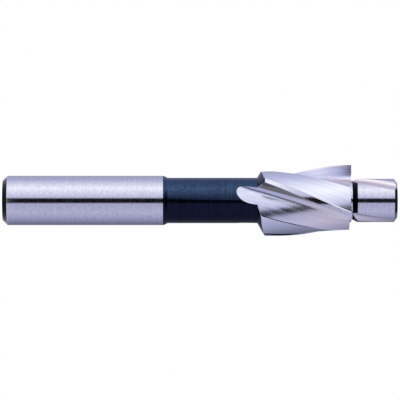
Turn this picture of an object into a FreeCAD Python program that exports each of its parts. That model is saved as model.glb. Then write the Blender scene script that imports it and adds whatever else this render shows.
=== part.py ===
"""Solid-pilot counterbore, turned and ground from one bar of tool steel.

The tool stands on the flat end of its shank: the axis is +Z, the pilot points up and
the origin is the centre of the shank's end face. Lengths are millimetres and angles
are degrees. Angles round the axis count from +X towards +Y.
"""
import FreeCAD, Part
import math
import os
import Sketcher
from FreeCAD import Placement, Rotation, Vector

SIZES = [
    # Whole tool
    ("overall_length", 100.0),
    # Ground shank, held in the chuck, and the neck turned a little under it
    ("shank_dia", 12.5),
    ("shank_length", 40.9),
    ("shank_chamfer", 1.15),
    ("shank_round", 1.0),
    ("shoulder_length", 0.9),
    ("neck_relief", 0.45),
    # Cutting head
    ("head_dia", 18.0),
    ("head_length", 22.0),
    ("back_cone_angle", 60.0),
    # Pilot that follows the drilled hole, undercut where it meets the head
    ("pilot_dia", 11.0),
    ("pilot_length", 11.6),
    ("pilot_bevel_height", 0.75),
    ("pilot_bevel_width", 1.1),
    ("undercut_depth", 0.8),
    ("undercut_height", 0.5),
    ("undercut_rise", 1.2),
    # Centre holes that the tool was ground between
    ("centre_mouth", 3.35),
    ("centre_angle", 60.0),
    ("centre_drill_dia", 1.6),
    ("centre_depth", 3.6),
    ("centre_point_angle", 120.0),
    # Teeth and helical flutes
    ("tooth_count", 3),
    ("flute_lead", 132.0),
    ("edge_angle", 59.2),
    ("core_radius", 5.16),
    ("floor_lean", 26.0),
    ("corner_radius", 1.0),
    ("margin_angle", 9.5),
    ("land_angle", 46.5),
    ("land_step", 0.4),
    ("land_radius", 8.0),
    ("end_relief_angle", 8.0),
    # Run-out of the grinding wheel on the neck
    ("wheel_radius", 30.0),
    ("runout_setback", 0.9),
    ("guide_radius", 20.0),
    # Room that a cutting shape has beyond the metal
    ("clearance", 2.0),
]

doc = FreeCAD.newDocument("counterbore_cutter")
sheet = doc.addObject("Spreadsheet::Sheet", "sizes")
for row, (name, value) in enumerate(SIZES, start=1):
    sheet.set("A%d" % row, name)
    sheet.set("B%d" % row, str(value))
    sheet.setAlias("B%d" % row, name)
doc.recompute()

# Radii
SHANK_R = "(sizes.shank_dia / 2)"
NECK_R = "(sizes.shank_dia / 2 - sizes.neck_relief)"
HEAD_R = "(sizes.head_dia / 2)"
PILOT_R = "(sizes.pilot_dia / 2)"
UNDERCUT_R = "(sizes.pilot_dia / 2 - sizes.undercut_depth)"
OUTSIDE_R = "(sizes.head_dia / 2 + sizes.clearance)"

# Heights along the axis
TOP = "sizes.overall_length"
FACE = "(sizes.overall_length - sizes.pilot_length)"
CONE_TOP = "(" + FACE + " - sizes.head_length)"
CONE_FOOT = "(" + CONE_TOP + " - (" + HEAD_R + " - " + NECK_R + ") / tan(sizes.back_cone_angle))"
NECK_FOOT = "(sizes.shank_length + sizes.shoulder_length)"
FULL_DEPTH = "(" + CONE_TOP + " - sizes.runout_setback)"

# Angles of one flute, counted ahead of the cutting edge that its rake face ends in
PITCH = "(360 / sizes.tooth_count)"
HEEL = "(" + PITCH + " - sizes.land_angle)"
MARGIN_BACK = "(" + PITCH + " - sizes.margin_angle)"
TWIST = "(360 / sizes.flute_lead)"

# Angles round the axis at the height where the flutes reach full depth
EDGE_START = "(sizes.edge_angle + " + PITCH + " - " + TWIST + " * (" + FACE + " - " + FULL_DEPTH + "))"
FLOOR_START = "(" + EDGE_START + " + sizes.floor_lean)"

body = doc.addObject("PartDesign::Body", "tool")
body.Label = "counterbore_cutter"


def value_of(expression):
    """Number that an expression gives with the sizes in the sheet."""
    return float(sheet.evalExpression(expression))


def origin_feature(role):
    """Plane or axis of the body's own origin."""
    return next(item for item in body.Origin.OriginFeatures if item.Role == role)


def new_sketch(name, role, turn_axis=Vector(0, 0, 1), turn=None, lift=None):
    """Sketch on an origin plane, turned about an axis of that plane and lifted off it."""
    sketch = body.newObject("Sketcher::SketchObject", name)
    sketch.AttachmentSupport = [(origin_feature(role), "")]
    sketch.MapMode = "FlatFace"
    if turn:
        sketch.AttachmentOffset = Placement(Vector(), Rotation(turn_axis, value_of(turn)))
        sketch.setExpression("AttachmentOffset.Rotation.Angle", turn)
    if lift:
        sketch.setExpression("AttachmentOffset.Base.z", lift)
    return sketch


def pin(sketch, edge, end, corner):
    """Hold one end of an edge at the x and y that two expressions give."""
    for kind, axis, expression in (("DistanceX", -2, corner[0]), ("DistanceY", -1, corner[1])):
        if expression == "0":
            sketch.addConstraint(Sketcher.Constraint("PointOnObject", edge, end, axis))
            continue
        distance = Sketcher.Constraint(kind, -1, 1, edge, end, value_of(expression))
        index = sketch.addConstraint(distance)
        sketch.setExpression("Constraints[%d]" % index, expression)


def arc_between(start, end, radius):
    """Short arc from start to end; its centre is on the left if the radius is positive."""
    chord = end - start
    left = Vector(-chord.y, chord.x, 0).normalize()
    rise = math.sqrt(radius ** 2 - chord.Length ** 2 / 4)
    centre = start + chord * 0.5 + left * math.copysign(rise, radius)
    first, last = (start, end) if radius > 0 else (end, start)
    from_angle = math.atan2(first.y - centre.y, first.x - centre.x)
    to_angle = math.atan2(last.y - centre.y, last.x - centre.x)
    circle = Part.Circle(centre, Vector(0, 0, 1), abs(radius))
    return Part.ArcOfCircle(circle, from_angle, to_angle)


def draw(sketch, corners, closed=True):
    """Line through corners that expressions pin: (x, y), or (x, y, radius) where an arc follows."""
    places = [Vector(value_of(corner[0]), value_of(corner[1]), 0) for corner in corners]
    count = len(corners)
    edges = count if closed else count - 1
    ends = []
    for index in range(edges):
        start, end = places[index], places[(index + 1) % count]
        if len(corners[index]) == 2:
            sketch.addGeometry(Part.LineSegment(start, end))
            ends.append((1, 2))
            continue
        radius = value_of(corners[index][2])
        sketch.addGeometry(arc_between(start, end, radius))
        ends.append((1, 2) if radius > 0 else (2, 1))
        held = sketch.addConstraint(Sketcher.Constraint("Radius", index, abs(radius)))
        sketch.setExpression("Constraints[%d]" % held, "abs(" + corners[index][2] + ")")
    for index in range(edges):
        pin(sketch, index, ends[index][0], corners[index])
        following = (index + 1) % count
        if following < edges:
            joined = Sketcher.Constraint("Coincident", index, ends[index][1], following, ends[following][0])
            sketch.addConstraint(joined)
        else:
            pin(sketch, index, ends[index][1], corners[following])
    doc.recompute()


def polar(radius, angle):
    """Corner at a radius and an angle."""
    return ("%s * cos(%s)" % (radius, angle), "%s * sin(%s)" % (radius, angle))


def feature(kind, name, sketch, axis=None):
    """Feature of the body that uses a sketch, and turns it about an axis if one is given."""
    made = body.newObject("PartDesign::" + kind, name)
    made.Profile = sketch
    if axis:
        made.ReferenceAxis = (origin_feature(axis), [""])
        made.Angle = 360
    doc.recompute()
    return made


def repeat_round(name, originals):
    """The same cut at every tooth."""
    pattern = body.newObject("PartDesign::PolarPattern", name)
    pattern.Originals = originals
    pattern.Axis = (origin_feature("Z_Axis"), [""])
    pattern.Angle = 360
    pattern.setExpression("Occurrences", "sizes.tooth_count")
    body.Tip = pattern
    doc.recompute()
    return pattern


def turned_blank():
    """Shank, shoulder, neck, back cone and head, turned as one outline."""
    slope = "atan((" + SHANK_R + " - " + NECK_R + ") / sizes.shoulder_length)"
    tangent = "sizes.shank_round * tan(" + slope + " / 2)"
    sketch = new_sketch("turned_outline", "XZ_Plane")
    draw(sketch, [
        ("0", "0"),
        (SHANK_R + " - sizes.shank_chamfer", "0"),
        (SHANK_R, "sizes.shank_chamfer"),
        (SHANK_R, "sizes.shank_length - " + tangent, "sizes.shank_round"),
        (SHANK_R + " - " + tangent + " * sin(" + slope + ")",
         "sizes.shank_length + " + tangent + " * cos(" + slope + ")"),
        (NECK_R, NECK_FOOT),
        (NECK_R, CONE_FOOT),
        (HEAD_R, CONE_TOP),
        (HEAD_R, FACE),
        ("0", FACE),
    ])
    return feature("Revolution", "blank", sketch, "Z_Axis")


def end_relief():
    """Flat that falls away behind each end cutting edge."""
    reach = OUTSIDE_R
    sketch = new_sketch("relief_wedge", "YZ_Plane", Vector(0, 1, 0), "sizes.edge_angle")
    draw(sketch, [
        ("0", FACE),
        ("0", FACE + " + sizes.clearance"),
        ("-" + reach, FACE + " + sizes.clearance"),
        ("-" + reach, FACE + " - " + reach + " * tan(sizes.end_relief_angle)"),
    ])
    wedge = feature("Pocket", "end_relief", sketch)
    wedge.Reversed = True
    wedge.setExpression("Length", OUTSIDE_R)
    return repeat_round("end_reliefs", [wedge])


def pilot():
    """Pilot with its lead-in bevel and the grinding undercut behind it."""
    groove_radius = "((sizes.undercut_rise ^ 2 + sizes.undercut_depth ^ 2) / 2 / sizes.undercut_depth)"
    root_end = FACE + " + sizes.undercut_height"
    sketch = new_sketch("pilot_outline", "XZ_Plane")
    draw(sketch, [
        ("0", FACE + " - " + UNDERCUT_R),
        (UNDERCUT_R, FACE + " - " + UNDERCUT_R),
        (UNDERCUT_R, root_end, "-" + groove_radius),
        (PILOT_R, root_end + " + sizes.undercut_rise"),
        (PILOT_R, TOP + " - sizes.pilot_bevel_height"),
        (PILOT_R + " - sizes.pilot_bevel_width", TOP),
        ("0", TOP),
    ])
    return feature("Revolution", "pilot", sketch, "Z_Axis")


def centre_hole(name, end, inward):
    """Drilled and countersunk centre in one end face; inward is + or -."""
    mouth = "(sizes.centre_mouth / 2)"
    drill = "(sizes.centre_drill_dia / 2)"
    cone = "(" + mouth + " - " + drill + ") / tan(sizes.centre_angle / 2)"
    point = drill + " / tan(sizes.centre_point_angle / 2)"
    sketch = new_sketch(name + "_outline", "XZ_Plane")
    draw(sketch, [
        ("0", end),
        (mouth, end),
        (drill, end + inward + cone),
        (drill, end + inward + "sizes.centre_depth"),
        ("0", end + inward + "(sizes.centre_depth + " + point + ")"),
    ])
    return feature("Groove", name, sketch, "Z_Axis")


def flute_section():
    """What the wheel takes out between two teeth, square to the axis at full depth."""
    floor_to_centre = "(sizes.core_radius + sizes.corner_radius * (1 - sin(sizes.floor_lean)))"
    corner_x = "(" + floor_to_centre + " / cos(sizes.floor_lean))"
    heel_radius = "sizes.core_radius / cos(" + HEEL + " - sizes.floor_lean)"
    land_start = "(" + HEAD_R + " - sizes.land_step)"
    halfway = "(" + MARGIN_BACK + " / 2)"
    sketch = new_sketch("flute_section", "XY_Plane", turn=EDGE_START, lift=FULL_DEPTH)
    draw(sketch, [
        (OUTSIDE_R, "0"),
        (corner_x, "0", "-sizes.corner_radius"),
        (corner_x + " - sizes.corner_radius * cos(sizes.floor_lean)",
         "sizes.corner_radius * (1 - sin(sizes.floor_lean))"),
        polar(heel_radius, HEEL) + ("sizes.land_radius",),
        polar(land_start, MARGIN_BACK),
        polar(OUTSIDE_R, MARGIN_BACK),
        polar("(" + OUTSIDE_R + " / cos(" + halfway + "))", halfway),
    ])
    return sketch


def wheel_path():
    """Along the axis, then away from it on the wheel's own circle as the wheel lifts off."""
    turning = "(sizes.core_radius + sizes.wheel_radius)"
    lift = "acos(1 - (" + HEAD_R + " - sizes.core_radius) / sizes.wheel_radius)"
    sketch = new_sketch("wheel_path", "XZ_Plane", Vector(0, 1, 0), FLOOR_START)
    draw(sketch, [
        ("0", TOP + " + sizes.clearance"),
        ("0", FULL_DEPTH, turning),
        (turning + " * (1 - cos(" + lift + "))", FULL_DEPTH + " - " + turning + " * sin(" + lift + ")"),
    ], closed=False)
    return sketch


def guide_helix():
    """Right-hand helix that turns the section as it moves along the tool."""
    drop = "sizes.wheel_radius"
    helix = doc.addObject("Part::Helix", "guide_helix")
    helix.setExpression("Pitch", "sizes.flute_lead")
    helix.setExpression("Radius", "sizes.guide_radius")
    helix.setExpression("Height", TOP + " - " + FULL_DEPTH + " + " + drop + " + sizes.clearance")
    start_angle = FLOOR_START + " - " + TWIST + " * " + drop
    helix.Placement = Placement(Vector(), Rotation(Vector(0, 0, 1), value_of(start_angle)))
    helix.setExpression("Placement.Base.z", FULL_DEPTH + " - " + drop)
    helix.setExpression("Placement.Rotation.Angle", start_angle)
    return helix


def flutes():
    """Helical flutes from the neck through the head and on across the pilot as flats."""
    section = flute_section()
    path = wheel_path()
    guide = guide_helix()
    doc.recompute()
    flute = body.newObject("PartDesign::SubtractivePipe", "flute")
    flute.Profile = section
    flute.Spine = (path, ["Edge1", "Edge2"])
    flute.AuxiliarySpine = (guide, ["Edge1"])
    flute.AuxiliaryCurvilinear = False
    flute.Mode = "Auxiliary"
    doc.recompute()
    return repeat_round("flutes", [flute])


turned_blank()
end_relief()
pilot()
centre_hole("shank_centre", "0", " + ")
centre_hole("pilot_centre", TOP, " - ")
flutes()
doc.recompute()

# Nothing is written unless every object is sound
for item in doc.Objects:
    if "Invalid" in item.State or "Error" in item.State:
        raise RuntimeError(item.Name + " failed: " + ", ".join(item.State))
shape = body.Shape
if shape.isNull() or not shape.isValid() or len(shape.Solids) != 1:
    raise RuntimeError("The tool is not one sound solid")

os.makedirs("parts", exist_ok=True)
shape.exportStep("parts/%s.step" % body.Label)
box = shape.BoundBox
print("Solids %d, faces %d, volume %.1f mm3" % (len(shape.Solids), len(shape.Faces), shape.Volume))
print("X %.3f to %.3f, Y %.3f to %.3f, Z %.3f to %.3f" % (
    box.XMin, box.XMax, box.YMin, box.YMax, box.ZMin, box.ZMax))
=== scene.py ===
# %% [markdown]
# # A solid counterbore, from turned bar to studio picture
#
# The real tool is one bar of high-speed steel. It is turned on a lathe and hardened, which leaves
# it black, and then grinding wheels make bright what has to be true: the shank, the head, the
# pilot and three helical flutes. This lesson makes it in the same order, because each tool
# that touches the metal leaves its own kind of surface.
#
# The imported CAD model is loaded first. It is the frame: it fixes the place and the size
# of everything, in metres, with the axis of the tool along Z and the shank's end on the floor.

# %% Load the frame
import math

import bmesh
import bpy
from mathutils import Matrix, Vector


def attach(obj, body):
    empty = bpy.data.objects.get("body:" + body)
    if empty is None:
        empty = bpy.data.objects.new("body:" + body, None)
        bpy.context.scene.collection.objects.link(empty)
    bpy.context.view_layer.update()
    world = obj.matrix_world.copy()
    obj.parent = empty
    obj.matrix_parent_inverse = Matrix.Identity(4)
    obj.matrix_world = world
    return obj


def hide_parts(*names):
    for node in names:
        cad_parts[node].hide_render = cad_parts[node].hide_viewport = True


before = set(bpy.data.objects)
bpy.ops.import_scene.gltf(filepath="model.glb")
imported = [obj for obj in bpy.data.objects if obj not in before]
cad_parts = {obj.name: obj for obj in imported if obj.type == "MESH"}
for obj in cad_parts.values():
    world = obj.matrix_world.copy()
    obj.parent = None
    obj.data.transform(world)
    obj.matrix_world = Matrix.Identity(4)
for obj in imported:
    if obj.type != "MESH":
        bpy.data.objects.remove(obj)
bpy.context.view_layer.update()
print("The frame holds:", list(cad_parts))

# %% [markdown]
# ## The sizes
#
# A drawing of a counterbore gives a few diameters, lengths and angles, and everything else
# follows from them. They are kept in millimetres, because that is how a toolmaker
# thinks and because the cutting steps later are more exact with numbers near 1 than with
# thousandths. The last step of the model turns them into metres.
#
# The angle of a cone is measured from the axis. The overrun is how far a cutter reaches past the
# metal, so that no face of it lies in a face of the bar.

# %% Sizes of the bar, in millimetres and degrees
SIZE = {
    "length": 100.0,
    "shank_radius": 6.25, "shank_length": 40.9, "shank_chamfer": 1.15,
    "shoulder": 0.9, "shoulder_round": 1.0, "neck_radius": 5.76,
    "head_radius": 9.0, "head_length": 22.0, "back_cone_angle": 60.0,
    "pilot_radius": 5.5, "pilot_length": 11.6, "pilot_foot": 5.0,
    "bevel_height": 0.75, "bevel_width": 1.1,
    "centre_mouth": 1.675, "centre_drill": 0.8, "centre_depth": 3.6,
    "centre_cone_angle": 30.0, "drill_tip_angle": 60.0,
    "teeth": 3, "lead": 132.0,
}
PITCH = 360.0 / SIZE["teeth"]
FACE = SIZE["length"] - SIZE["pilot_length"]
CONE_TOP = FACE - SIZE["head_length"]
TWIST = 360.0 / SIZE["lead"]
OVERRUN = 2.0
print("Teeth end at %.1f mm and start at %.1f mm" % (FACE, CONE_TOP))
print("The flutes turn %.2f degrees in each millimetre" % TWIST)

# %% [markdown]
# ## Nodes and colours
#
# Both the geometry and the materials below are built from nodes. One small function adds a
# node, sets its properties and fills its sockets, so that a tree reads like a recipe. The
# colours are written as the hex values of a paint program, which are sRGB, and one function
# turns them into the linear values that the renderer adds up.


# %% Helpers for nodes and colours
def add(tree, kind, sockets=None, **settings):
    """Add a node with its settings; a socket value that comes from another node is linked."""
    node = tree.nodes.new(kind)
    for name, value in settings.items():
        setattr(node, name, value)
    for key, value in (sockets or {}).items():
        if isinstance(value, bpy.types.NodeSocket):
            tree.links.new(value, node.inputs[key])
        else:
            node.inputs[key].default_value = value
    return node.outputs


def linear(code):
    """Linear RGBA from a hex colour."""
    parts = [int(code[i:i + 2], 16) / 255 for i in (1, 3, 5)]
    return [p / 12.92 if p <= 0.04045 else ((p + 0.055) / 1.055) ** 2.4 for p in parts] + [1.0]


print("Middle grey in linear light: %.3f" % linear("#808080")[0])

# %% [markdown]
# ## The surfaces
#
# The whole tool is high-speed steel, and what the eye sees is how each place was last made.
# * Ground between centres: the shank, the pilot and the outside of the teeth. The wheel runs
#   round the bar, so its fine scratches are rings, and the steel is nearly a mirror.
# * Ground along the flute: the floor, the rake face and the land of each tooth. The wheel runs
#   along the helix, so the scratches follow the flute and blur what it mirrors.
# * Black oxide from hardening, wherever no wheel came: the neck, the back of the head, the
#   chamfer and the centre holes. It is a thin dark skin through which turning rings show.
#
# Bare metal needs a metallic shader with the default IOR, and nearly all of its looks come from
# roughness and bump: about 0.13 where the steel is ground between centres, 0.2 under the oxide
# and up to 0.34 in the flutes. Every pattern reads the place on the tool and is stretched by a
# count of marks in each millimetre. Real grinding scratches are some hundredths of a millimetre
# apart and would be too fine to see, so they are drawn a few times coarser.


# %% What the steels share
PER_MM = 1000.0


def new_material(name):
    """An empty material and its tree."""
    material = bpy.data.materials.new(name)
    material.use_nodes = True
    return material, material.node_tree


def make_steel(tree, roughness, colour, normal):
    """Make the shader a metal and link what a finish works out to it."""
    shader = tree.nodes["Principled BSDF"]
    shader.inputs["Metallic"].default_value = 1.0
    for socket, value in (("Roughness", roughness), ("Base Color", colour), ("Normal", normal)):
        tree.links.new(value, shader.inputs[socket])


print("A pattern scale of %d draws one mark in each millimetre" % PER_MM)


# %% Ring-ground steel
def ring_ground_steel(name):
    """Steel ground between centres: rings 0.11 mm apart, bands of 1 mm and a light mottle."""
    material, tree = new_material(name)
    place = add(tree, "ShaderNodeTexCoord")["Object"]
    ring_place = add(tree, "ShaderNodeMapping", {
        "Vector": place, "Scale": (0.04 * PER_MM, 0.04 * PER_MM, 9 * PER_MM)})["Vector"]
    rings = add(tree, "ShaderNodeTexNoise", {
        "Vector": ring_place, "Scale": 1.0, "Detail": 3.0, "Roughness": 0.6})["Fac"]
    band_place = add(tree, "ShaderNodeMapping", {
        "Vector": place, "Scale": (0.06 * PER_MM, 0.06 * PER_MM, 0.9 * PER_MM)})["Vector"]
    bands = add(tree, "ShaderNodeTexNoise", {"Vector": band_place, "Scale": 1.0, "Detail": 2.0})["Fac"]
    rough = add(tree, "ShaderNodeMapRange", {"Value": bands, "To Min": 0.10, "To Max": 0.16})["Result"]
    # The mottle is where the wheel polished the steel a little more or less
    mottle = add(tree, "ShaderNodeTexNoise", {"Vector": place, "Scale": 1.6 * PER_MM, "Detail": 2.0})["Fac"]
    both = add(tree, "ShaderNodeMath", {0: rings, 1: mottle}, operation="ADD")["Value"]
    uneven = add(tree, "ShaderNodeMapRange", {"Value": both, "From Min": 0.7, "From Max": 1.3})["Result"]
    tint = add(tree, "ShaderNodeMix", {
        "Factor": uneven, "A": linear("#c2c1c7"), "B": linear("#dad9dc")}, data_type="RGBA")[2]
    bump = add(tree, "ShaderNodeBump", {"Strength": 0.25, "Distance": 0.000002, "Height": rings})["Normal"]
    make_steel(tree, rough, tint, bump)
    return material


RING_GROUND = ring_ground_steel("ring_ground_steel")
print("Made", RING_GROUND.name)

# %% [markdown]
# Scratches along a helix are straight scratches on a twisted tool. So the place is unwound
# first: it is turned back by the angle that the flute has turned at its height. After that a noise
# stretched along Z follows the flute by itself.
#
# The tint of these surfaces changes along the tool. Part of that is what stood round it, mirrored in
# the steel, but a finish has to look right from every side, so here the steel itself carries the change.
# Where `near` and `far` differ, that change is painted light: painted reflection on the rake face,
# partly on the floor, and painted shade at the heel step. `near` and `far` are the darker and lighter
# tone at the two ends of it.


# %% Flute-ground steel
def flute_ground_steel(name, near, far, axis="Z", start=0.0, end=0.1):
    """Steel ground along the flute: scratches 0.2 mm apart and streaks of 0.7 mm on the helix."""
    material, tree = new_material(name)
    place = add(tree, "ShaderNodeTexCoord")["Object"]
    parts = add(tree, "ShaderNodeSeparateXYZ", {"Vector": place})
    unwind = add(tree, "ShaderNodeMath", {
        0: parts["Z"], 1: -math.radians(TWIST) * PER_MM}, operation="MULTIPLY")["Value"]
    unwound = add(tree, "ShaderNodeVectorRotate", {
        "Vector": place, "Angle": unwind}, rotation_type="Z_AXIS")["Vector"]
    fine_place = add(tree, "ShaderNodeMapping", {
        "Vector": unwound, "Scale": (5 * PER_MM, 5 * PER_MM, 0.06 * PER_MM)})["Vector"]
    fine = add(tree, "ShaderNodeTexNoise", {
        "Vector": fine_place, "Scale": 1.0, "Detail": 4.0, "Roughness": 0.65})["Fac"]
    broad_place = add(tree, "ShaderNodeMapping", {
        "Vector": unwound, "Scale": (1.4 * PER_MM, 1.4 * PER_MM, 0.09 * PER_MM)})["Vector"]
    broad = add(tree, "ShaderNodeTexNoise", {"Vector": broad_place, "Scale": 1.0, "Detail": 2.0})["Fac"]
    rough = add(tree, "ShaderNodeMapRange", {
        "Value": broad, "From Min": 0.3, "From Max": 0.7, "To Min": 0.2, "To Max": 0.34})["Result"]
    # Tone from near to far along one axis, which the materials below use for painted reflection and painted
    # shade
    share = add(tree, "ShaderNodeMapRange", {
        "Value": parts[axis], "From Min": start, "From Max": end})["Result"]
    dark, light = [add(tree, "ShaderNodeMix", {
        "Factor": share, "A": linear(a), "B": linear(b)}, data_type="RGBA")[2] for a, b in zip(near, far)]
    tint = add(tree, "ShaderNodeMix", {"Factor": fine, "A": dark, "B": light}, data_type="RGBA")[2]
    low = add(tree, "ShaderNodeBump", {"Strength": 1.0, "Distance": 0.00002, "Height": broad})["Normal"]
    bump = add(tree, "ShaderNodeBump", {
        "Strength": 1.0, "Distance": 0.000009, "Height": fine, "Normal": low})["Normal"]
    make_steel(tree, rough, tint, bump)
    return material


NECK_FLOOR_TONES, WARM, COOL = ("#abaebb", "#ecedf3"), ("#c5bab6", "#fdf5ef"), ("#b6b8c0", "#f8f9fa")
RAKE_BRIGHT_REFLECTION, RAKE_KHAKI_REFLECTION, STEP_SHADE_TONES = ("#a5a6b8", "#dcdcec"), ("#857f6c", "#bcb6a4"), ("#10131f", "#2a2f40")
# The floor is painted duller on the neck, where the wheel lifts off, and warmer towards the pilot: partly
# the steel's own tone and partly painted reflection
FLUTE_GROUND = flute_ground_steel("flute_ground_steel", NECK_FLOOR_TONES, WARM, "Z", 0.069, 0.080)
# Painted reflection: the rake face is painted silver on the -X side of the tool, toward the bright part of
# the tent, and khaki grey on the rest, the tones of the room it mirrors
RAKE_PAINTED_REFLECTION = flute_ground_steel("rake_steel_painted_reflection", RAKE_BRIGHT_REFLECTION, RAKE_KHAKI_REFLECTION, "X", -0.0052, -0.0044)
# Painted shade: the little step at the heel is painted as a dark line at the back of the head, and fades
# towards the face
STEP_PAINTED_SHADE = flute_ground_steel("step_steel_painted_shade", STEP_SHADE_TONES, COOL, "Z", 0.073, 0.08)
LAND_GROUND = flute_ground_steel("land_ground_steel", COOL, COOL)
print("Made", [m.name for m in (FLUTE_GROUND, RAKE_PAINTED_REFLECTION, STEP_PAINTED_SHADE, LAND_GROUND)])

# %% [markdown]
# Black oxide is a skin of about a thousandth of a millimetre, so it takes the shape of the turned
# steel below it: faint rings, and flecks where scale was left. The upper half of the neck is painted
# bluer and lighter and the lower half blacker, so the colour changes across the bar: painted light,
# lighter on the -X side, which faces the bright part of the tent.


# %% Black oxide
# Where the oxide turns from its painted lit side to its painted shaded side, in metres along X
LIT_SIDE_ENDS, SHADED_SIDE_STARTS = -0.0035, 0.001


def black_oxide(name, painted_lit_side, painted_shaded_side):
    """Blackened turned steel: rings 0.3 mm apart and flecks of 0.7 mm in a dark skin."""
    material, tree = new_material(name)
    place = add(tree, "ShaderNodeTexCoord")["Object"]
    ring_place = add(tree, "ShaderNodeMapping", {
        "Vector": place, "Scale": (0.05 * PER_MM, 0.05 * PER_MM, 3.5 * PER_MM)})["Vector"]
    rings = add(tree, "ShaderNodeTexNoise", {"Vector": ring_place, "Scale": 1.0, "Detail": 3.0})["Fac"]
    rough = add(tree, "ShaderNodeMapRange", {"Value": rings, "To Min": 0.16, "To Max": 0.26})["Result"]
    # Painted light: across X the skin goes from the lighter, bluer lit side to the blacker shaded side
    across = add(tree, "ShaderNodeSeparateXYZ", {"Vector": place})["X"]
    shaded_share = add(tree, "ShaderNodeMapRange", {
        "Value": across, "From Min": LIT_SIDE_ENDS, "From Max": SHADED_SIDE_STARTS},
        interpolation_type="SMOOTHSTEP")["Result"]
    skin = add(tree, "ShaderNodeMix", {
        "Factor": shaded_share, "A": linear(painted_lit_side), "B": linear(painted_shaded_side)}, data_type="RGBA")[2]
    flecks = add(tree, "ShaderNodeTexNoise", {"Vector": place, "Scale": 1.5 * PER_MM, "Detail": 3.0})["Fac"]
    both = add(tree, "ShaderNodeMath", {0: rings, 1: flecks}, operation="ADD")["Value"]
    shade = add(tree, "ShaderNodeMapRange", {
        "Value": both, "From Min": 0.7, "From Max": 1.3, "To Min": 0.62, "To Max": 1.3})["Result"]
    tint = add(tree, "ShaderNodeVectorMath", {0: skin, "Scale": shade}, operation="SCALE")["Vector"]
    bump = add(tree, "ShaderNodeBump", {"Strength": 0.3, "Distance": 0.000004, "Height": rings})["Normal"]
    make_steel(tree, rough, tint, bump)
    return material


# First colour: the painted lit side; second colour: the painted shaded side
BLACK_OXIDE = black_oxide("black_oxide", "#354860", "#1c1e30")
# Oxide of the chamfer, the centre holes and the groove's flank, painted darker than the neck's so that they
# stay black instead of mirroring the white floor: painted shade
SCALE_BLACK_AND_SHADE = black_oxide("scale_black_and_painted_shade", "#15151b", "#0d0d12")
CONE_OXIDE = black_oxide("cone_oxide", "#242f42", "#12131f")
BRIGHT, BLACK, SCALE, CONE = 0, 1, 2, 3
FINISHES = [RING_GROUND, BLACK_OXIDE, SCALE_BLACK_AND_SHADE, CONE_OXIDE]
print("Made", [m.name for m in FINISHES[1:]])

# %% [markdown]
# ## The turned bar
#
# A lathe makes any shape whose outline can be drawn as a radius at each height. A bevelled
# cylinder from the Add menu would not give the shoulder, the cone and the centre holes, so an outline is
# spun round the axis instead. Each stretch of it also says which finish it gets,
# so the black neck ends exactly at a corner, as it does where the grinding wheel stopped.


# %% Spin an outline
SPIN_STEPS = 288


def in_scene(name, mesh):
    """A new object with a mesh, linked to the scene."""
    made = bpy.data.objects.new(name, mesh)
    bpy.context.scene.collection.objects.link(made)
    return made


def circle(radius, height, steps):
    """Points of a level circle round the axis."""
    angles = [2 * math.pi * i / steps for i in range(steps)]
    return [(radius * math.cos(a), radius * math.sin(a), height) for a in angles]


def spin(name, outline, materials):
    """Closed mesh of an outline [(radius, height, material index)] spun round the axis."""
    mesh = bpy.data.meshes.new(name)
    work = bmesh.new()
    rings = []
    for radius, height, finish in outline:
        points = circle(radius, height, SPIN_STEPS) if radius else [(0, 0, height)]
        rings.append([work.verts.new(p) for p in points])
    for lower, upper, (radius, height, finish) in zip(rings, rings[1:], outline):
        for i in range(SPIN_STEPS):
            j = (i + 1) % SPIN_STEPS
            corners = [lower[i % len(lower)], lower[j % len(lower)]]
            corners += [upper[j % len(upper)], upper[i % len(upper)]]
            face = work.faces.new(list(dict.fromkeys(corners)))
            face.material_index = finish
    bmesh.ops.recalc_face_normals(work, faces=work.faces)
    work.to_mesh(mesh)
    work.free()
    for material in materials:
        mesh.materials.append(material)
    return in_scene(name, mesh)


def rounded(corner_before, corner, corner_after, radius, steps=6):
    """Points of a small arc that replaces a corner of the outline."""
    here = Vector(corner)
    back = (Vector(corner_before) - here).normalized()
    ahead = (Vector(corner_after) - here).normalized()
    half = back.angle(ahead) / 2
    reach = radius / math.tan(half)
    centre = here + (back + ahead).normalized() * (radius / math.sin(half))
    start, end = here + back * reach - centre, here + ahead * reach - centre
    turn = start.angle_signed(end)
    return [tuple(centre + Matrix.Rotation(-turn * i / steps, 2) @ start) for i in range(steps + 1)]


print("A spun outline gets %d faces round the axis" % SPIN_STEPS)

# %% [markdown]
# The bar's outline starts inside the centre hole of the shank's end, and climbs over the
# chamfer, the shank, the shoulder, the neck and the back cone to the face of the head.

# %% The bar
shank_r, neck_r = SIZE["shank_radius"], SIZE["neck_radius"]
head_r, pilot_r = SIZE["head_radius"], SIZE["pilot_radius"]
mouth_r, drill_r = SIZE["centre_mouth"], SIZE["centre_drill"]
neck_foot = SIZE["shank_length"] + SIZE["shoulder"]
cone_foot = CONE_TOP - (head_r - neck_r) / math.tan(math.radians(SIZE["back_cone_angle"]))
drill_tip = drill_r / math.tan(math.radians(SIZE["drill_tip_angle"]))
drill_cone = (mouth_r - drill_r) / math.tan(math.radians(SIZE["centre_cone_angle"]))
shoulder_arc = rounded((shank_r, 0), (shank_r, SIZE["shank_length"]), (neck_r, neck_foot),
                       SIZE["shoulder_round"])

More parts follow.
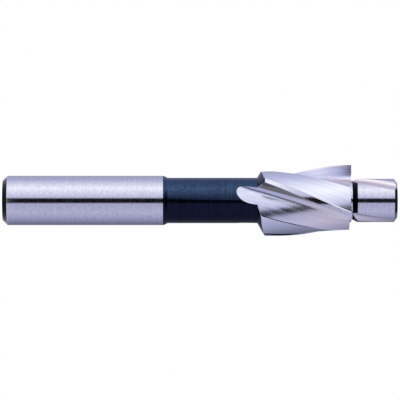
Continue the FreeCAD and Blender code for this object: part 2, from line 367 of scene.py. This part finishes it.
# The centre hole, end face and chamfer of the shank take the darkest oxide, darkened as painted shade
outline = [
    (0, SIZE["centre_depth"] + drill_tip, SCALE),
    (drill_r, SIZE["centre_depth"], SCALE),
    (drill_r, drill_cone, SCALE),
    (mouth_r, 0, SCALE),
    (shank_r - SIZE["shank_chamfer"], 0, SCALE),
    (shank_r, SIZE["shank_chamfer"], BRIGHT),
]
outline += [(radius, height, BLACK) for radius, height in shoulder_arc]
outline += [
    (neck_r, neck_foot, BLACK),
    (neck_r, cone_foot, CONE),
    (head_r, CONE_TOP, BRIGHT),
    (head_r, FACE, BRIGHT),
    (0, FACE, BRIGHT),
]
blank = spin("turned_bar", outline, FINISHES)
print("Turned bar of %d faces, neck from %.1f to %.1f mm" % (len(blank.data.polygons), neck_foot, cone_foot))

# %% [markdown]
# The pilot is spun on its own and joined later, because the wedges that cut the ends of the
# teeth would take it away. The wheel that does this on the real tool stops at the pilot.

# %% The pilot
top = SIZE["length"]
foot = FACE - SIZE["pilot_foot"]
# The pilot's centre hole takes the darkest oxide, darkened as painted shade
pilot = spin("pilot_blank", [
    (0, foot, BRIGHT),
    (pilot_r, foot, BRIGHT),
    (pilot_r, top - SIZE["bevel_height"], BRIGHT),
    (pilot_r - SIZE["bevel_width"], top, BRIGHT),
    (mouth_r, top, SCALE),
    (drill_r, top - drill_cone, SCALE),
    (drill_r, top - SIZE["centre_depth"], SCALE),
    (0, top - SIZE["centre_depth"] - drill_tip, SCALE),
], FINISHES)
print("Pilot of %d faces, %.1f mm across" % (len(pilot.data.polygons), 2 * pilot_r))

# %% [markdown]
# ## What the wheels take away
#
# A flute is not drawn on the tool: it is what is left after wheels have passed. So the model
# holds the section that they take out, square to the axis. It starts on the radial rake
# face, turns through a wide corner onto a floor that swells a little, and climbs a tiny step at
# the heel of the next tooth. Then it crosses that tooth's relieved land, and ends in
# a low wall and a fine bevel beside the narrow margin that is left at full diameter.
#
# Where the wheel lifts off on the neck, a second section takes over, with a flat floor that leans.

# %% Sizes of the flutes, in millimetres and degrees
FLUTE = {
    # The cutting edge, and the corner between rake face and floor
    "edge_angle": 59.2, "corner_place": 6.4, "corner_radius": 1.7, "valley_lean": 0.5,
    # The heel with its step, and the land above it
    "heel_radius": 7.3, "heel_step": 0.4, "heel_sweep": 40.0,
    "land_angle": 55.0, "land_radius": 11.0, "land_step": 0.4,
    "margin_angle": 9.5, "margin_bevel": 0.16,
    # The section on the neck, where it takes over, and how much of the twist it keeps
    "runout_core": 4.8, "runout_lean": 25.0, "runout_corner": 2.0, "runout_turn": 0.85,
    "runout_setback": 0.9, "runout_reach": 15.5, "blend_below": 7.0, "blend_above": 3.3,
    "wheel_radius": 19.0, "end_relief_angle": 5.0,
}
FULL_DEPTH = CONE_TOP - FLUTE["runout_setback"]
EDGE_START = FLUTE["edge_angle"] + PITCH - TWIST * (FACE - FULL_DEPTH)
print("Full depth from %.1f mm up, section turned %.1f degrees there" % (FULL_DEPTH, EDGE_START))


# %% Points on arcs and lines
def arc(start, end, radius, steps):
    """Points between two ends on an arc whose centre is on the left if the radius is positive."""
    a, b = Vector(start), Vector(end)
    chord = b - a
    left = Vector((-chord.y, chord.x)).normalized()
    rise = math.sqrt(radius ** 2 - chord.length_squared / 4)
    centre = (a + b) / 2 + left * math.copysign(rise, radius)
    turn = (a - centre).angle_signed(b - centre)
    return [tuple(centre + Matrix.Rotation(-turn * i / steps, 2) @ (a - centre)) for i in range(steps)]


def straight(start, end, steps):
    """Points from one end towards the other, the last one left out."""
    a, b = Vector(start), Vector(end)
    return [tuple(a.lerp(b, i / steps)) for i in range(steps)]


def polar(radius, angle):
    """Point at a radius and an angle in degrees."""
    return (radius * math.cos(math.radians(angle)), radius * math.sin(math.radians(angle)))


print("A quarter round in three points:", [[round(c, 2) for c in p] for p in arc((1, 0), (0, 1), 1, 3)])

# %% [markdown]
# Each point of the section carries a label, which says what ground it. A cut face later takes the
# mean of its points' labels. The labels are spaced so that no mean of two neighbours that cut
# metal is mistaken for another label.


# %% Outline and labels of a section
FLOOR, RAKE, STEP, LAND = 0.0, 1.0, 5.0, 9.0
SIDE_POINTS, FLOOR_POINTS, HEEL_POINTS, CORNER_IN_RAKE = 14, 24, 6, 5


def section_points(corner, corner_x, valley, heel, floor):
    """Closed outline of what the wheels take out, and the label of each of its points."""
    outside = head_r + OVERRUN
    back = PITCH - FLUTE["margin_angle"]
    turned_in = arc((corner_x, 0), valley, -corner, SIDE_POINTS)
    # The step at the heel is concave, left between the wheels of the floor and of the land
    along = (Vector(heel) - Vector(floor[-1])).normalized()
    half = math.radians(FLUTE["heel_sweep"] / 2)
    climb = 2 * FLUTE["heel_step"] * math.sin(half)
    step_end = tuple(Vector(heel) + Matrix.Rotation(-half, 2) @ along * climb)
    land_end = polar(head_r - FLUTE["land_step"], back)
    bevel = FLUTE["margin_bevel"]
    bevel_end = polar(outside, back + math.degrees((outside - head_r + bevel) / head_r))
    beyond = polar(outside / math.cos(math.radians(back / 2)), back / 2)
    stretches = [
        (straight((outside, 0), (corner_x, 0), SIDE_POINTS), RAKE),
        (turned_in[:CORNER_IN_RAKE], RAKE),
        (turned_in[CORNER_IN_RAKE:], FLOOR),
        (floor, FLOOR),
        (arc(heel, step_end, -FLUTE["heel_step"], HEEL_POINTS), STEP),
        (arc(step_end, land_end, FLUTE["land_radius"], SIDE_POINTS), LAND),
        # The low wall beside the margin takes the step's label, so it gets the step's painted shade too
        ([land_end, polar(head_r - bevel, back)], STEP),
        ([bevel_end, beyond], LAND),
    ]
    points = [point for stretch, label in stretches for point in stretch]
    labels = [label for stretch, label in stretches for point in stretch]
    return points, labels


def flute_section():
    """Section along the head: the floor swells a little between its valley and the heel."""
    corner, corner_x = FLUTE["corner_radius"], FLUTE["corner_place"]
    outward = Vector(polar(1, FLUTE["valley_lean"]))
    valley = Vector((corner_x, corner)) - corner * outward
    heel = Vector(polar(FLUTE["heel_radius"], PITCH - FLUTE["land_angle"]))
    bulge = (heel - valley).length_squared / (2 * outward.dot(valley - heel))
    return section_points(corner, corner_x, valley, heel, arc(valley, heel, bulge, FLOOR_POINTS))


def runout_section():
    """Section where the wheel lifts off: a flat floor and a wide corner."""
    corner, core, lean = FLUTE["runout_corner"], FLUTE["runout_core"], math.radians(FLUTE["runout_lean"])
    corner_x = (core + corner * (1 - math.sin(lean))) / math.cos(lean)
    valley = (corner_x - corner * math.cos(lean), corner * (1 - math.sin(lean)))
    heel_angle = PITCH - FLUTE["land_angle"]
    heel = polar(core / math.cos(math.radians(heel_angle) - lean), heel_angle)
    return section_points(corner, corner_x, valley, heel, straight(valley, heel, FLOOR_POINTS))


print("Labels used:", sorted(set(flute_section()[1])))


# %% The two sections as objects
def outline_object(name, points, labels):
    """Mesh of edges only, which a node tree can turn into a curve, each point with its label."""
    mesh = bpy.data.meshes.new(name)
    count = len(points)
    edges = [(i, (i + 1) % count) for i in range(count)]
    mesh.from_pydata([(x, y, 0) for x, y in points], edges, [])
    mesh.attributes.new("ground_by", "FLOAT", "POINT").data.foreach_set("value", labels)
    made = in_scene(name, mesh)
    made.hide_render = True
    return made


section = outline_object("flute_section", *flute_section())
runout = outline_object("runout_section", *runout_section())
print("Each section has %d points" % len(section.data.vertices))

# %% [markdown]
# Two more cuts are solids. A wedge slopes down behind each end cutting edge, so that only
# the edge touches the work. A ring that turns a third of the way round cuts a groove between the
# teeth and the pilot, where a wheel with a sloping flank ran out. Its flank stays black: it takes
# the darkest oxide, darkened as painted shade.


# %% End relief wedge
def solid(name, verts, faces, materials, finish=None):
    """Small closed cutter; finish gives the material index of each face."""
    mesh = bpy.data.meshes.new(name)
    mesh.from_pydata(verts, [], faces)
    for material in materials:
        mesh.materials.append(material)
    for polygon, index in zip(mesh.polygons, finish or []):
        polygon.material_index = index
    work = bmesh.new()
    work.from_mesh(mesh)
    bmesh.ops.recalc_face_normals(work, faces=work.faces)
    work.to_mesh(mesh)
    work.free()
    made = in_scene(name, mesh)
    made.hide_render = True
    return made


def relief_wedge():
    """Metal over the end of one tooth, sloping down behind the end cutting edge."""
    reach = head_r + OVERRUN
    drop = reach * math.tan(math.radians(FLUTE["end_relief_angle"]))
    side = [(0, FACE), (0, FACE + OVERRUN), (-reach, FACE + OVERRUN), (-reach, FACE - drop)]
    turn = Matrix.Rotation(math.radians(FLUTE["edge_angle"]), 3, "Z")
    verts = [turn @ Vector((x, y, z)) for x in (0, reach) for y, z in side]
    faces = [(0, 1, 2, 3), (4, 5, 6, 7), (0, 1, 5, 4), (1, 2, 6, 5), (2, 3, 7, 6), (3, 0, 4, 7)]
    return solid("relief_wedge", verts, faces, [RING_GROUND])


wedge = relief_wedge()
print("Relief wedge of %d faces" % len(wedge.data.polygons))

# %% Undercut ring
UNDERCUT = {
    "root_radius": 4.8, "floor": 0.2, "flank": 1.5, "past_pilot": 0.1, "rim": 1.0, "bite": 0.05,
    "past_edge": 9.0, "swing": 114.0,
}
UNDERCUT_STEPS, FLANK = 80, 1


def undercut_ring():
    """Part turn of a groove between the teeth and the pilot, up to the cutting edge."""
    root, mouth = UNDERCUT["root_radius"], pilot_r + UNDERCUT["past_pilot"]
    low, high = FACE - UNDERCUT["bite"], FACE + UNDERCUT["floor"]
    summit, rim = high + UNDERCUT["flank"], mouth + UNDERCUT["rim"]
    profile = [(root, low), (root, high), (mouth, summit), (rim, summit), (rim, low)]
    start = FLUTE["edge_angle"] + UNDERCUT["past_edge"]
    verts = []
    for i in range(UNDERCUT_STEPS + 1):
        x, y = polar(1, start - UNDERCUT["swing"] * i / UNDERCUT_STEPS)
        verts += [(r * x, r * y, z) for r, z in profile]
    n = len(profile)
    last = UNDERCUT_STEPS * n
    faces = [tuple(range(n)), tuple(range(last, last + n))]
    finish = [BRIGHT, BRIGHT]
    for i in range(UNDERCUT_STEPS):
        for k in range(n):
            a, b = i * n + k, i * n + (k + 1) % n
            faces.append((a, b, b + n, a + n))
            # The groove's flank takes the darkest oxide, darkened as painted shade
            finish.append(SCALE if k == FLANK else BRIGHT)
    return solid("undercut_ring", verts, faces, FINISHES, finish)


undercut = undercut_ring()
print("Undercut ring of %d faces" % len(undercut.data.polygons))

# %% [markdown]
# ## Grinding it in Geometry Nodes
#
# The flutes follow a rule, so a node tree makes them: it sweeps the section along the tool,
# turns it as it climbs, lifts it away where the flute runs out on the neck, and cuts it from the bar
# once for each tooth. A different lead, wheel or number of teeth is then a matter of one
# input. Each number that a grinder would set on the machine is such an input.

# %% Inputs of the tree
SWEEP_STEPS = 240
grind = bpy.data.node_groups.new("grind_counterbore", "GeometryNodeTree")
NUMBERS = {
    "Teeth": SIZE["teeth"],
    "Twist": math.radians(TWIST),
    "Wheel radius": FLUTE["wheel_radius"],
    "Full depth height": FULL_DEPTH,
    "Section start angle": math.radians(EDGE_START),
    "Blend below": FLUTE["blend_below"],
    "Blend above": FLUTE["blend_above"],
    "Held turn": 1 - FLUTE["runout_turn"],
    "Bottom": FULL_DEPTH - FLUTE["runout_reach"],
    "Top": SIZE["length"] + OVERRUN,
    "Steps": SWEEP_STEPS,
}
CUTTERS = {
    "Flute section": section, "Run-out section": runout,
    "Relief wedge": wedge, "Undercut": undercut, "Pilot": pilot,
}
STEELS = {
    "Flute finish": FLUTE_GROUND, "Rake painted reflection": RAKE_PAINTED_REFLECTION,
    "Step painted shade": STEP_PAINTED_SHADE, "Land finish": LAND_GROUND,
}


def new_input(name, kind):
    """A named input of the tree."""
    return grind.interface.new_socket(name, in_out="INPUT", socket_type=kind)


new_input("Geometry", "NodeSocketGeometry")
for name, value in NUMBERS.items():
    whole_number = isinstance(value, int)
    new_input(name, "NodeSocketInt" if whole_number else "NodeSocketFloat").default_value = value
for name in CUTTERS:
    new_input(name, "NodeSocketObject")
for name in STEELS:
    new_input(name, "NodeSocketMaterial")
grind.interface.new_socket("Geometry", in_out="OUTPUT", socket_type="NodeSocketGeometry")
given = add(grind, "NodeGroupInput")
print("The tree takes %d inputs" % len([socket for socket in given if socket.name]))

# %% [markdown]
# Both sections are first swept along a straight line, which gives two long bars with the same
# points in the same order. A curve swept this way carries its points' labels along.


# %% Two long bars
def of_object(socket):
    """Geometry of the object that is given to an input."""
    return add(grind, "GeometryNodeObjectInfo", {"Object": given[socket]})["Geometry"]


low_point = add(grind, "ShaderNodeCombineXYZ", {"Z": given["Bottom"]})["Vector"]
high_point = add(grind, "ShaderNodeCombineXYZ", {"Z": given["Top"]})["Vector"]
line = add(grind, "GeometryNodeCurvePrimitiveLine", {"Start": low_point, "End": high_point})["Curve"]
line = add(grind, "GeometryNodeResampleCurve", {"Curve": line, "Count": given["Steps"]})["Curve"]
bars = []
for name in ("Flute section", "Run-out section"):
    profile = add(grind, "GeometryNodeMeshToCurve", {"Mesh": of_object(name)})["Curve"]
    bar = add(grind, "GeometryNodeCurveToMesh", {
        "Curve": line, "Profile Curve": profile, "Fill Caps": True})["Mesh"]
    bars.append(add(grind, "GeometryNodeFlipFaces", {"Mesh": bar})["Mesh"])
print("%d nodes after the sweep" % len(grind.nodes))

# %% [markdown]
# Near the neck each point of the first bar slides to its twin on the second, so the section
# changes smoothly. Below full depth the floor also climbs out of the metal along
# a circle of the wheel's radius, which gives the run-out its rounded end.

# %% Run-out
place = add(grind, "GeometryNodeInputPosition")["Position"]
height = add(grind, "ShaderNodeSeparateXYZ", {"Vector": place})["Z"]
own_index = add(grind, "GeometryNodeInputIndex")["Index"]
twin = add(grind, "GeometryNodeSampleIndex", {"Geometry": bars[1], "Value": place, "Index": own_index},
           data_type="FLOAT_VECTOR", domain="POINT")["Value"]
full_depth = given["Full depth height"]
low_end = add(grind, "ShaderNodeMath", {0: full_depth, 1: given["Blend below"]}, operation="SUBTRACT")
high_end = add(grind, "ShaderNodeMath", {0: full_depth, 1: given["Blend above"]}, operation="ADD")
share = add(grind, "ShaderNodeMapRange", {
    "Value": height, "From Min": low_end["Value"], "From Max": high_end["Value"],
    "To Min": 1.0, "To Max": 0.0}, interpolation_type="SMOOTHSTEP")["Result"]
where = add(grind, "ShaderNodeMix", {"Factor": share, 4: place, 5: twin}, data_type="VECTOR")[1]

# How far the wheel has lifted: its radius less the height of the circle at this depth
above = add(grind, "ShaderNodeMath", {0: height, 1: full_depth}, operation="SUBTRACT")["Value"]
below = add(grind, "ShaderNodeMath", {0: above, 1: 0.0}, operation="MINIMUM")["Value"]
squared = add(grind, "ShaderNodeMath", {0: below, 1: below}, operation="MULTIPLY")["Value"]
wheel = given["Wheel radius"]
wheel_squared = add(grind, "ShaderNodeMath", {0: wheel, 1: wheel}, operation="MULTIPLY")["Value"]
rest = add(grind, "ShaderNodeMath", {0: wheel_squared, 1: squared}, operation="SUBTRACT")["Value"]
root = add(grind, "ShaderNodeMath", {0: rest}, operation="SQRT")["Value"]
lift = add(grind, "ShaderNodeMath", {0: wheel, 1: root}, operation="SUBTRACT")["Value"]
away = add(grind, "ShaderNodeCombineXYZ", {"X": lift})["Vector"]
lifted = add(grind, "ShaderNodeVectorMath", {0: where, 1: away}, operation="ADD")["Vector"]
print("%d nodes after the run-out" % len(grind.nodes))

# %% [markdown]
# A helix is a section that turns in step with its height. While the wheel lifts off, it turns
# a little less here, which is how the run-out lies on the neck in the picture.

# %% Helix
held = add(grind, "ShaderNodeMath", {0: below, 1: given["Held turn"]}, operation="MULTIPLY")["Value"]
wound_height = add(grind, "ShaderNodeMath", {0: above, 1: held}, operation="SUBTRACT")["Value"]
turn = add(grind, "ShaderNodeMath", {0: wound_height, 1: given["Twist"]}, operation="MULTIPLY")["Value"]
angle = add(grind, "ShaderNodeMath", {0: turn, 1: given["Section start angle"]}, operation="ADD")["Value"]
turned = add(grind, "ShaderNodeVectorRotate", {
    "Vector": lifted, "Angle": angle}, rotation_type="Z_AXIS")["Vector"]
flute = add(grind, "GeometryNodeSetPosition", {"Geometry": bars[0], "Position": turned})["Geometry"]
flute = add(grind, "GeometryNodeSetMaterial", {
    "Geometry": flute, "Material": given["Flute finish"]})["Geometry"]
print("%d nodes after the helix" % len(grind.nodes))

# %% [markdown]
# The teeth are alike, so each cutter is put on as many points as there are teeth. All the points
# lie on the axis, and each one is turned a tooth further than the one before.

# %% Once for each tooth
tooth = add(grind, "GeometryNodeInputIndex")["Index"]
pitch = add(grind, "ShaderNodeMath", {0: 2 * math.pi, 1: given["Teeth"]}, operation="DIVIDE")["Value"]
own_turn = add(grind, "ShaderNodeMath", {0: tooth, 1: pitch}, operation="MULTIPLY")["Value"]
euler = add(grind, "ShaderNodeCombineXYZ", {"Z": own_turn})["Vector"]
facing = add(grind, "FunctionNodeEulerToRotation", {"Euler": euler})["Rotation"]
stations = add(grind, "GeometryNodePoints", {"Count": given["Teeth"]})["Points"]


def at_each_tooth(cutter):
    """The cutter, once for every tooth."""
    placed = add(grind, "GeometryNodeInstanceOnPoints", {
        "Points": stations, "Instance": cutter, "Rotation": facing})["Instances"]
    return add(grind, "GeometryNodeRealizeInstances", {"Geometry": placed})["Geometry"]


print("%d nodes after the teeth" % len(grind.nodes))

# %% [markdown]
# Now the cuts. The ends of the teeth come first, then the pilot is joined on, then the groove
# beside it is cut, and last the flutes, which run on over the pilot. Every solid is closed, so
# the Manifold solver can be used, which is fast and keeps the cutters' finishes and labels.

# %% Cut the bar
relieved = add(grind, "GeometryNodeMeshBoolean", {
    "Mesh 1": given["Geometry"], "Mesh 2": at_each_tooth(of_object("Relief wedge"))},
    operation="DIFFERENCE", solver="MANIFOLD")["Mesh"]
joined = add(grind, "GeometryNodeMeshBoolean", {"Mesh 2": relieved}, operation="UNION",
             solver="MANIFOLD")["Mesh"]
grind.links.new(of_object("Pilot"), joined.node.inputs["Mesh 2"])
grooved = add(grind, "GeometryNodeMeshBoolean", {
    "Mesh 1": joined, "Mesh 2": at_each_tooth(of_object("Undercut"))},
    operation="DIFFERENCE", solver="MANIFOLD")["Mesh"]
fluted = add(grind, "GeometryNodeMeshBoolean", {
    "Mesh 1": grooved, "Mesh 2": at_each_tooth(flute)},
    operation="DIFFERENCE", solver="MANIFOLD")["Mesh"]
metres = add(grind, "GeometryNodeTransform", {
    "Geometry": fluted, "Scale": [1 / PER_MM] * 3})["Geometry"]
whole = add(grind, "GeometryNodeRealizeInstances", {"Geometry": metres})["Geometry"]
print("%d nodes after the cuts" % len(grind.nodes))

# %% [markdown]
# Last, the labels choose the finish of each face inside a flute. A face between the land and a
# step has the mean of both labels and counts as land, so the land's range reaches from
# that mean to its own label.

# %% Finishes by label
NEAR = 0.1
land_to_step = (LAND + STEP) / 2
ranges = (
    ("Rake painted reflection", RAKE, NEAR),
    ("Step painted shade", STEP, NEAR),
    ("Land finish", (LAND + land_to_step) / 2, (LAND - land_to_step) / 2 + NEAR),
)
in_flute = add(grind, "GeometryNodeMaterialSelection", {"Material": given["Flute finish"]})["Selection"]
label = add(grind, "GeometryNodeInputNamedAttribute", {"Name": "ground_by"}, data_type="FLOAT")["Attribute"]
for finish, middle, reach in ranges:
    chosen = add(grind, "ShaderNodeMath", {0: label, 1: middle, 2: reach}, operation="COMPARE")["Value"]
    chosen = add(grind, "ShaderNodeMath", {0: chosen, 1: in_flute}, operation="MULTIPLY")["Value"]
    whole = add(grind, "GeometryNodeSetMaterial", {
        "Geometry": whole, "Selection": chosen, "Material": given[finish]})["Geometry"]
add(grind, "NodeGroupOutput", {"Geometry": whole})
print("The whole tree has %d nodes" % len(grind.nodes))

# %% [markdown]
# The tree works as a modifier of the turned bar. Its inputs are set by identifier, because two
# sockets may have the same name, and the evaluated result becomes a plain mesh.


# %% Grind the bar
def set_input(modifier, name, value):
    """Give a modifier's input by the identifier of its socket."""
    for item in modifier.node_group.interface.items_tree:
        if item.item_type == "SOCKET" and item.in_out == "INPUT" and item.name == name:
            modifier[item.identifier] = value


modifier = blank.modifiers.new("grinding", "NODES")
modifier.node_group = grind
for name, value in {**CUTTERS, **STEELS}.items():
    set_input(modifier, name, value)
bpy.context.view_layer.update()
ground = bpy.data.meshes.new_from_object(blank.evaluated_get(bpy.context.evaluated_depsgraph_get()))
blank.modifiers.remove(modifier)
ground.name = "counterbore"
print("Ground bar of %d faces" % len(ground.polygons))

# %% [markdown]
# ## The finished piece
#
# Faces that meet at a real corner stay crisp and all others are shaded as one smooth surface,
# which matters on a metal that mirrors its surroundings. The piece stands for the CAD solid and
# moves with its body.

# %% One plain mesh on the tool's body
MERGE_DISTANCE = 1e-7
CREASE_ANGLE = 22

work = bmesh.new()
work.from_mesh(ground)
bmesh.ops.remove_doubles(work, verts=work.verts, dist=MERGE_DISTANCE)
open_edges = sum(1 for edge in work.edges if not edge.is_manifold)
work.to_mesh(ground)
work.free()
for polygon in ground.polygons:
    polygon.use_smooth = True
ground.set_sharp_from_angle(angle=math.radians(CREASE_ANGLE))
tool = in_scene("ground_counterbore", ground)
for used in (blank, *CUTTERS.values()):
    bpy.data.objects.remove(used)
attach(tool, "root")
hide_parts("counterbore_cutter")
print("Tool: %d faces, %d open edges" % (len(ground.polygons), open_edges))

# %% [markdown]
# ## The studio
#
# A polished cylinder shows nothing but what stands round it. Product pictures of cutting tools are
# therefore taken inside a tent: pale cloth on all sides, brightest where a lamp stands behind it, with
# one narrow gap for the lens that the steel shows as a black line. The tent below is a
# cylinder round the tool whose glow changes with the direction. The direction is 0 degrees at
# the lens and 90 degrees at what is the top of the picture.
#
# Steel gives back about three fifths of the light, so the cloth glows that much brighter than
# the colours that are written here, and they are then what the steel shows.

# %% Tent cloth
STEEL_GIVES_BACK = 0.62
GLOW = [
    (-180, "#7d7f8c"), (-160, "#565a68"), (-125, "#73768f"), (-90, "#9698b6"), (-60, "#acaccb"),
    (-14, "#a2a4bf"), (-11, "#07070f"), (9.5, "#07070f"), (12, "#b4b6d4"), (58, "#ecedf7"),
    (110, "#a8aacb"), (150, "#9496ae"), (180, "#7d7f8c"),
]


def tent_glow():
    """Cloth lit from behind: its glow depends on the direction from the tool's axis."""
    material, tree = new_material("tent_cloth")
    tree.nodes.clear()
    place = add(tree, "ShaderNodeTexCoord")["Object"]
    parts = add(tree, "ShaderNodeSeparateXYZ", {"Vector": place})
    left = add(tree, "ShaderNodeMath", {0: parts["X"], 1: -1.0}, operation="MULTIPLY")["Value"]
    front = add(tree, "ShaderNodeMath", {0: parts["Y"], 1: -1.0}, operation="MULTIPLY")["Value"]
    angle = add(tree, "ShaderNodeMath", {0: left, 1: front}, operation="ARCTAN2")["Value"]
    share = add(tree, "ShaderNodeMapRange", {
        "Value": angle, "From Min": -math.pi, "From Max": math.pi})["Result"]
    colour = add(tree, "ShaderNodeValToRGB", {"Fac": share})["Color"]
    stops = colour.node.color_ramp.elements
    stops[0].position, stops[1].position = 0.0, 1.0
    stops[0].color, stops[1].color = linear(GLOW[0][1]), linear(GLOW[-1][1])
    for degrees, code in GLOW[1:-1]:
        stops.new((degrees + 180) / 360).color = linear(code)
    strength = 1 / STEEL_GIVES_BACK
    glow = add(tree, "ShaderNodeEmission", {"Color": colour, "Strength": strength})["Emission"]
    add(tree, "ShaderNodeOutputMaterial", {"Surface": glow})
    return material


tent_cloth = tent_glow()
print("Tent cloth with %d tones" % len(GLOW))

# %% [markdown]
# The roof and the base of the tent are plain dark cloth. The floor under the tool is white paper.
# It takes the tool's shadow, but to the lens, in the steel and through glass it
# glows white, so the picture's ground stays white without more light on the tool.


# %% Dark cloth and paper
PAPER_GLOW = 0.9


def plain_glow(name, code, strength):
    """Cloth of one even glow."""
    material, tree = new_material(name)
    tree.nodes.clear()
    glow = add(tree, "ShaderNodeEmission", {"Color": linear(code), "Strength": strength})["Emission"]
    add(tree, "ShaderNodeOutputMaterial", {"Surface": glow})
    return material


def seen_directly(tree):
    """1 for rays from the lens, off a mirror or through glass, and 0 for light that spreads."""
    path = add(tree, "ShaderNodeLightPath")
    seen = add(tree, "ShaderNodeMath", {
        0: path["Is Camera Ray"], 1: path["Is Glossy Ray"]}, operation="ADD")["Value"]
    return add(tree, "ShaderNodeMath", {
        0: seen, 1: path["Is Transmission Ray"]}, operation="ADD", use_clamp=True)["Value"]


def floor_paper():
    """White matt paper, which takes a shadow and is seen as white."""
    material, tree = new_material("white_paper")
    shader = tree.nodes["Principled BSDF"]
    shader.inputs["Base Color"].default_value = linear("#a8a8a8")
    shader.inputs["Roughness"].default_value = 0.9
    strength = add(tree, "ShaderNodeMath", {
        0: seen_directly(tree), 1: PAPER_GLOW}, operation="MULTIPLY")["Value"]
    glow = add(tree, "ShaderNodeEmission", {"Color": linear("#ffffff"), "Strength": strength})["Emission"]
    both = add(tree, "ShaderNodeAddShader", {0: shader.outputs["BSDF"], 1: glow})["Shader"]
    tree.links.new(both, tree.nodes["Material Output"].inputs["Surface"])
    return material


dark_cloth = plain_glow("dark_cloth", "#30303a", 0.5)
white_paper = floor_paper()
print("Made", dark_cloth.name, "and", white_paper.name)

# %% Put up the tent
TENT_RADIUS, TENT_LOW, TENT_HIGH, TENT_STEPS = 0.42, -0.45, 0.52, 128
PAPER_RADIUS, PAPER_HEIGHT = 0.025, -0.00002


def put_up(name, points, faces, material):
    """A sheet of cloth or paper in the studio."""
    mesh = bpy.data.meshes.new(name)
    mesh.from_pydata(points, [], faces)
    mesh.materials.append(material)
    return in_scene(name, mesh)


foot_ring = circle(TENT_RADIUS, TENT_LOW, TENT_STEPS)
head_ring = circle(TENT_RADIUS, TENT_HIGH, TENT_STEPS)
paper_ring = circle(PAPER_RADIUS, PAPER_HEIGHT, TENT_STEPS)
around = [(i, (i + 1) % TENT_STEPS) for i in range(TENT_STEPS)]
panels = [(i, j, j + TENT_STEPS, i + TENT_STEPS) for i, j in around]
one_face = [tuple(range(TENT_STEPS))]
tent = put_up("tent_wall", foot_ring + head_ring, panels, tent_cloth)
roof = put_up("tent_roof", head_ring, one_face, dark_cloth)
base = put_up("tent_base", foot_ring, one_face, dark_cloth)
floor = put_up("paper_floor", paper_ring, one_face, white_paper)
for part in (tent, roof, base):
    part.visible_camera = False
print("Tent %.2f m wide and %.2f m high" % (2 * TENT_RADIUS, TENT_HIGH - TENT_LOW))

# %% [markdown]
# The lens doesn't see the tent, so it looks out at the world, which is plain white to it. The
# tool stands inside the closed tent and gets no light from the world.

# %% World
world = bpy.data.worlds.new("studio")
bpy.context.scene.world = world
world.use_nodes = True
sky = world.node_tree
sky.nodes.clear()
white = add(sky, "ShaderNodeBackground", {
    "Color": linear("#ffffff"), "Strength": seen_directly(sky)})["Background"]
add(sky, "ShaderNodeOutputWorld", {"Surface": white})
print("World:", world.name)

# %% [markdown]
# ## The camera
#
# The picture was taken from far off with a long lens, square to the tool, and then laid on its
# side: its right is the tool's +Z. The lens stands a metre away, level with the middle of
# the tool. Its focal length follows from how many pixels of the picture a millimetre takes.

# %% Camera
DISTANCE = 1.015
PIXELS_PER_MM, PICTURE_WIDTH, SENSOR_WIDTH = 3.94, 400, 36.0
lens = bpy.data.cameras.new("long_lens")
lens.sensor_width = SENSOR_WIDTH
lens.lens = SENSOR_WIDTH * PIXELS_PER_MM * DISTANCE * PER_MM / PICTURE_WIDTH
lens.clip_start, lens.clip_end = 0.05, 10
camera = in_scene("camera", lens)
# The middle of the picture lies a tenth of a millimetre beside the tool's axis
middle = Vector((-0.000114, 0, 0.05002))
back = Vector((0, -1, 0))
right = Vector((0, 0, 1))
up = back.cross(right)
camera.location = middle + back * DISTANCE
camera.rotation_mode = "QUATERNION"
camera.rotation_quaternion = Matrix((right, up, back)).transposed().to_quaternion()
bpy.context.scene.camera = camera
bpy.context.scene.view_settings.view_transform = "Standard"
print("Lens %.0f mm, up in the picture is" % lens.lens, [round(c, 3) for c in up])
